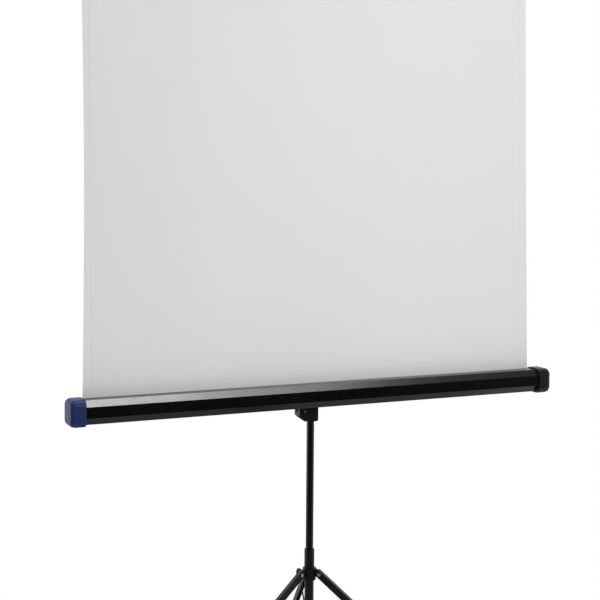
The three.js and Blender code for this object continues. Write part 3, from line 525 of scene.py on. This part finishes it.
def edit(piece):
    take(piece)
    bpy.ops.object.mode_set(mode="EDIT")
    bpy.ops.mesh.select_all(action="SELECT")


def done():
    bpy.ops.object.mode_set(mode="OBJECT")


def added(name, mesh):
    """A new object around this mesh."""
    piece = bpy.data.objects.new(name, mesh)
    bpy.context.scene.collection.objects.link(piece)
    return piece


def modified(piece, kind, **settings):
    """Adds a modifier with these settings and applies it."""
    take(piece)
    modifier = piece.modifiers.new(kind.lower(), kind)
    for key, value in settings.items():
        setattr(modifier, key, value)
    bpy.ops.object.modifier_apply(modifier=modifier.name)


def smooth(piece, angle=SMOOTH_ANGLE):
    """Smooth shading that keeps the flat faces flat."""
    take(piece)
    bpy.ops.object.shade_smooth_by_angle(angle=angle)
    modified(piece, "WEIGHTED_NORMAL", keep_sharp=True)


def body_and_slot(node):
    """The body that a CAD node rides on, and the slot that it takes its finish from."""
    slots = {row["node"]: row["material_slot"] for row in frame["record"]["subparts"]}
    return nodes[node]["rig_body"], slots[node]


def paint_over(piece, slot):
    piece.data.materials.clear()
    piece.data.materials.append(finishes[slot])


def dress(piece, node):
    """Gives a finished piece its finish and its body, and hides the CAD node that it stands for."""
    body, slot = body_and_slot(node)
    paint_over(piece, slot)
    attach(piece, body)
    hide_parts(node)


def merged_copy(name, node):
    """A copy of a CAD node with its triangles joined up and its flat faces made whole."""
    piece = added(name, nodes[node].data.copy())
    edit(piece)
    bpy.ops.mesh.remove_doubles(threshold=MERGE_REACH)
    bpy.ops.mesh.dissolve_limited(angle_limit=FLAT_WITHIN)
    done()
    return piece


def softened(node, largest_radius):
    """The CAD node with rounded edges. Its shortest edges limit the bevel, often to far less than asked."""
    piece = merged_copy(node + "_piece", node)
    modified(
        piece, "BEVEL", width=largest_radius, segments=BEVEL_SEGMENTS, limit_method="ANGLE",
        angle_limit=BEVEL_FROM, use_clamp_overlap=True, loop_slide=False,
    )
    modified(piece, "WELD", merge_threshold=WELD_REACH)
    smooth(piece)
    dress(piece, node)
    return piece


def fresh(name, shape):
    """An object around a bmesh, with double points joined and normals outward."""
    bmesh.ops.remove_doubles(shape, verts=shape.verts, dist=WELD_REACH)
    bmesh.ops.recalc_face_normals(shape, faces=shape.faces)
    mesh = bpy.data.meshes.new(name)
    shape.to_mesh(mesh)
    shape.free()
    return added(name, mesh)


def turned(name, outline, centre):
    """A solid of revolution about an upright line. The outline is a closed row of (radius, height)."""
    shape = bmesh.new()
    rings = []
    for step in range(TURN_STEPS):
        angle = 2 * math.pi * step / TURN_STEPS
        out = Vector((math.cos(angle), math.sin(angle), 0))
        rings.append([
            shape.verts.new(centre + out * radius + Vector((0, 0, height))) for radius, height in outline
        ])
    count = len(outline)
    for step in range(TURN_STEPS):
        here, there = rings[step], rings[(step + 1) % TURN_STEPS]
        for index in range(count):
            after = (index + 1) % count
            shape.faces.new((here[index], there[index], there[after], here[after]))
    return fresh(name, shape)


def rounded_corners(outline, radius):
    """The closed outline with an arc in place of each corner."""
    rounded = []
    count = len(outline)
    for index, corner in enumerate(outline):
        corner = Vector(corner)
        before = Vector(outline[index - 1]) - corner
        after = Vector(outline[(index + 1) % count]) - corner
        longest = CORNER_SHARE_OF_SIDE * min(before.length, after.length)
        reach = min(radius, longest)
        first = corner + before.normalized() * reach
        last = corner + after.normalized() * reach
        for step in range(CORNER_SEGMENTS + 1):
            share = step / CORNER_SEGMENTS
            inner = first.lerp(corner, share)
            outer = corner.lerp(last, share)
            rounded.append(inner.lerp(outer, share))
    return rounded


def turned_node(node, bore, edge):
    """A round node made again as a smooth tube, with this bore radius and rounding of its edges."""
    low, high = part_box(node)
    radius = (high.x - low.x) / 2
    outline = [(bore, low.z), (radius, low.z), (radius, high.z), (bore, high.z)]
    centre = Vector(((low.x + high.x) / 2, (low.y + high.y) / 2, 0))
    piece = turned(node + "_piece", rounded_corners(outline, edge), centre)
    smooth(piece)
    dress(piece, node)


def swept(name, path, radius):
    """A round wire along a row of points."""
    shape = bmesh.new()
    rings = []
    turns = [2 * math.pi * side / WIRE_SIDES for side in range(WIRE_SIDES)]
    across = (path[1] - path[0]).orthogonal()
    for index, point in enumerate(path):
        ahead = (path[min(index + 1, len(path) - 1)] - path[max(index - 1, 0)]).normalized()
        across = (across - ahead * across.dot(ahead)).normalized()
        over = ahead.cross(across)
        rings.append([
            shape.verts.new(point + (across * math.cos(turn) + over * math.sin(turn)) * radius)
            for turn in turns
        ])
    for here, there in zip(rings, rings[1:]):
        for side in range(WIRE_SIDES):
            after = (side + 1) % WIRE_SIDES
            shape.faces.new((here[side], here[after], there[after], there[side]))
    shape.faces.new(rings[0])
    shape.faces.new(rings[-1])
    return fresh(name, shape)


# Bent wires: the slat's bail and the roller's spring
BAIL_CORNER = 16 * MM
BAIL_CORNER_STEPS = 12
SPRING_TURNS = 12
SPRING_WIRE = 1.1 * MM
SPRING_STEPS = 32


def bail_path():
    """Up from the slat, round two corners and down again, and the wire's radius."""
    low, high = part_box("slat_bail")
    wire = (high.y - low.y) / 2
    half = (high.x - low.x) / 2 - wire
    top = high.z - wire
    depth = (low.y + high.y) / 2
    path = [Vector((-half, depth, low.z))]
    for side, start in ((-1, math.pi), (1, math.pi / 2)):
        for step in range(BAIL_CORNER_STEPS + 1):
            angle = start - math.pi / 2 * step / BAIL_CORNER_STEPS
            path.append(Vector((
                side * (half - BAIL_CORNER) + BAIL_CORNER * math.cos(angle), depth,
                top - BAIL_CORNER + BAIL_CORNER * math.sin(angle),
            )))
    path.append(Vector((half, depth, low.z)))
    return path, wire


def spring_path():
    """The coil's turns along the roller, and the wire's radius."""
    low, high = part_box("roller_spring")
    coil = (high.z - low.z) / 2 - SPRING_WIRE
    steps = SPRING_TURNS * SPRING_STEPS
    path = []
    for step in range(steps + 1):
        angle = 2 * math.pi * step / SPRING_STEPS
        along = low.x + SPRING_WIRE + (high.x - low.x - 2 * SPRING_WIRE) * step / steps
        path.append(Vector((along, roller_y + coil * math.cos(angle), case_z + coil * math.sin(angle))))
    return path, SPRING_WIRE


def add_wires():
    for node, (path, radius) in (("slat_bail", bail_path()), ("roller_spring", spring_path())):
        wire = swept(node + "_piece", path, radius)
        smooth(wire)
        dress(wire, node)


# Screws with a cross recess, and the way that each head looks
SCREW_HEADS = {
    "head_screw": Vector((0, 1, 0)),
    "saddle_screw_left": Vector((0, 1, 0)),
    "saddle_screw_right": Vector((0, 1, 0)),
    "cap_screw_left": Vector((0, 0, -1)),
    "cap_screw_right": Vector((0, 0, -1)),
}
RECESS_DEPTH = 1.1 * MM
RECESS_LENGTH_SHARE = 0.62
RECESS_WIDTH_SHARE = 0.15


def add_recess(screw, node, outward):
    """Sinks a cross for the screwdriver into the head."""
    low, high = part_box(node)
    head = (high.x - low.x) / 2
    face = (low + high) / 2 + outward * abs((high - low).dot(outward)) / 2
    turn = outward.to_track_quat("Z", "X").to_matrix().to_4x4()
    size = Vector((head * RECESS_LENGTH_SHARE, head * RECESS_WIDTH_SHARE, RECESS_DEPTH)) * 2
    for angle in (0, math.pi / 2):
        block = bmesh.new()
        turned_block = turn @ Matrix.Rotation(angle, 4, "Z") @ Matrix.Diagonal((*size, 1))
        bmesh.ops.create_cube(block, size=1, matrix=Matrix.Translation(face) @ turned_block)
        cutter = fresh(node + "_recess", block)
        modified(screw, "BOOLEAN", object=cutter, operation="DIFFERENCE", solver="EXACT")
        bpy.data.objects.remove(cutter)


# Tubes that are made again round: bore radius and edge radius, in millimetres
ROUND_NODES = {
    "base_tube": (12.5, 0.5),
    "column_tube": (10.3, 0.4),
    "extension_middle": (8.2, 0.4),
    "extension_upper": (6.0, 0.4),
}

# Upper limit of every other stiff node's edge radius, in millimetres; most pieces get less
EDGE_RADIUS_LIMITS = {
    "base_collar": 1.4, "base_bottom_cap": 1.2, "runner_stop": 0.5, "hub": 1.6, "runner": 1.2,
    "column_lock_knob": 1.4, "column_lock_stud": 0.4,
    "column_lower_bush": 0.7, "column_top_bush": 0.9, "extension_bush": 0.8,
    "head_bracket": 2.4, "head_screw": 0.7, "pivot_bolt": 0.9, "pivot_washer": 0.4, "pivot_nut": 0.5,
    "release_lever": 1.3, "release_lever_pin": 0.6, "hook_arm": 1.3,
    "case_saddle": 0.8, "saddle_screw_left": 0.8, "saddle_screw_right": 0.8, "case_shell": 1.6,
    "end_cap_left": 5.0, "end_cap_right": 5.0, "cap_screw_left": 0.8, "cap_screw_right": 0.8,
    "roller_tube": 0.3, "roller_plug_left": 0.6, "roller_plug_right": 0.6,
    "roller_pin_left": 0.4, "top_slat": 1.0, "slat_cap_left": 1.6, "slat_cap_right": 1.6,
}

# The same for the nodes that each of the three legs has
LEGS = (1, 2, 3)
LEG_EDGE_RADIUS_LIMITS = {
    "leg": 2.2, "foot": 4.0, "brace": 1.2,
    "leg_pin": 0.8, "brace_upper_pin": 0.8, "brace_lower_pin": 0.8,
}


def add_stiff_pieces():
    for node, (bore, edge) in ROUND_NODES.items():
        turned_node(node, bore * MM, edge * MM)
    for node, edge in EDGE_RADIUS_LIMITS.items():
        piece = softened(node, edge * MM)
        if node in SCREW_HEADS:
            add_recess(piece, node, SCREW_HEADS[node])
    for node, edge in LEG_EDGE_RADIUS_LIMITS.items():
        for leg in LEGS:
            softened(f"{node}_{leg}", edge * MM)
    add_wires()


# Cloth, both the part that is pulled out and the part on the roller
CAD_CLOTH_THICKNESS = 0.8 * MM
CLOTH_THICKNESS = 0.45 * MM
CLOTH_SMOOTH_ANGLE = 60 * DEGREE


def finish_cloth(piece, node):
    """Gives a sheet its thickness, outward normals and finish."""
    modified(piece, "SOLIDIFY", thickness=CLOTH_THICKNESS, offset=0)
    edit(piece)
    bpy.ops.mesh.normals_make_consistent(inside=False)
    done()
    smooth(piece, CLOTH_SMOOTH_ANGLE)
    dress(piece, node)


# The cloth that is pulled out: its edges draw in half way up, and it ripples slightly
CLOTH_WAIST_LEFT = 0.010
CLOTH_WAIST_RIGHT = 0.001
WAIST_POWER = 6
CLOTH_COLUMNS = 60
CLOTH_ROWS = 64
RIPPLE_DEPTH = 1.2 * MM
RIPPLE_LENGTH = 0.31
SLIDE = next(joint["range_m"][1] for joint in frame["joints"] if joint["name"] == "screen_slide")


def add_cloth():
    low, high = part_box("screen_cloth")
    depth = CAD_CLOTH_THICKNESS / 2
    bottom = Vector((0, low.y + depth, low.z))
    top = Vector((0, high.y - depth, high.z))
    width = high.x - low.x
    bpy.ops.mesh.primitive_grid_add(x_subdivisions=CLOTH_COLUMNS, y_subdivisions=CLOTH_ROWS, size=1)
    cloth = bpy.context.object
    cloth.name = "projection_cloth"
    for vertex in cloth.data.vertices:
        across, up = vertex.co.x, vertex.co.y + 0.5
        spot = bottom.lerp(top, up)
        pull = math.sin(math.pi * up)
        waist = CLOTH_WAIST_LEFT if across < 0 else CLOTH_WAIST_RIGHT
        drawn_in = waist * pull * (2 * abs(across)) ** WAIST_POWER
        spot.x = across * width - math.copysign(drawn_in, across)
        spot.y += RIPPLE_DEPTH * pull * math.sin(spot.x * 2 * math.pi / RIPPLE_LENGTH)
        vertex.co = spot
    finish_cloth(cloth, "screen_cloth")
    length = (top - bottom).length
    (length - SLIDE) / length
    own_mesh(cloth)


WOUND_TURNS = 2
WOUND_STEPS = 48


def add_wound_cloth():
    """The layers that stay on the roller, as one spiral of cloth."""
    low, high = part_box("wound_cloth")
    tube_low, tube_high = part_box("roller_tube")
    inner = (tube_high.z - tube_low.z) / 2 + 2 * CLOTH_THICKNESS
    outer = (high.z - low.z) / 2 - CLOTH_THICKNESS
    steps = WOUND_TURNS * WOUND_STEPS
    spiral = bmesh.new()
    rows = []
    for side in (low.x, high.x):
        row = []
        for step in range(steps + 1):
            angle = 2 * math.pi * step / WOUND_STEPS
            radius = inner + (outer - inner) * step / steps
            row.append(spiral.verts.new((
                side, roller_y + radius * math.cos(angle), case_z + radius * math.sin(angle),
            )))
        rows.append(row)
    for step in range(steps):
        spiral.faces.new((rows[0][step], rows[0][step + 1], rows[1][step + 1], rows[1][step]))
    piece = fresh("wound_cloth_piece", spiral)
    finish_cloth(piece, "wound_cloth")


bpy.context.scene.view_settings.view_transform = "Standard"
add_camera()
deselect()
add_floor()
add_world()
add_lamps()
finishes = make_finishes()
for node, piece in nodes.items():
    paint_over(piece, body_and_slot(node)[1])
add_cloth()
add_wound_cloth()
add_stiff_pieces()
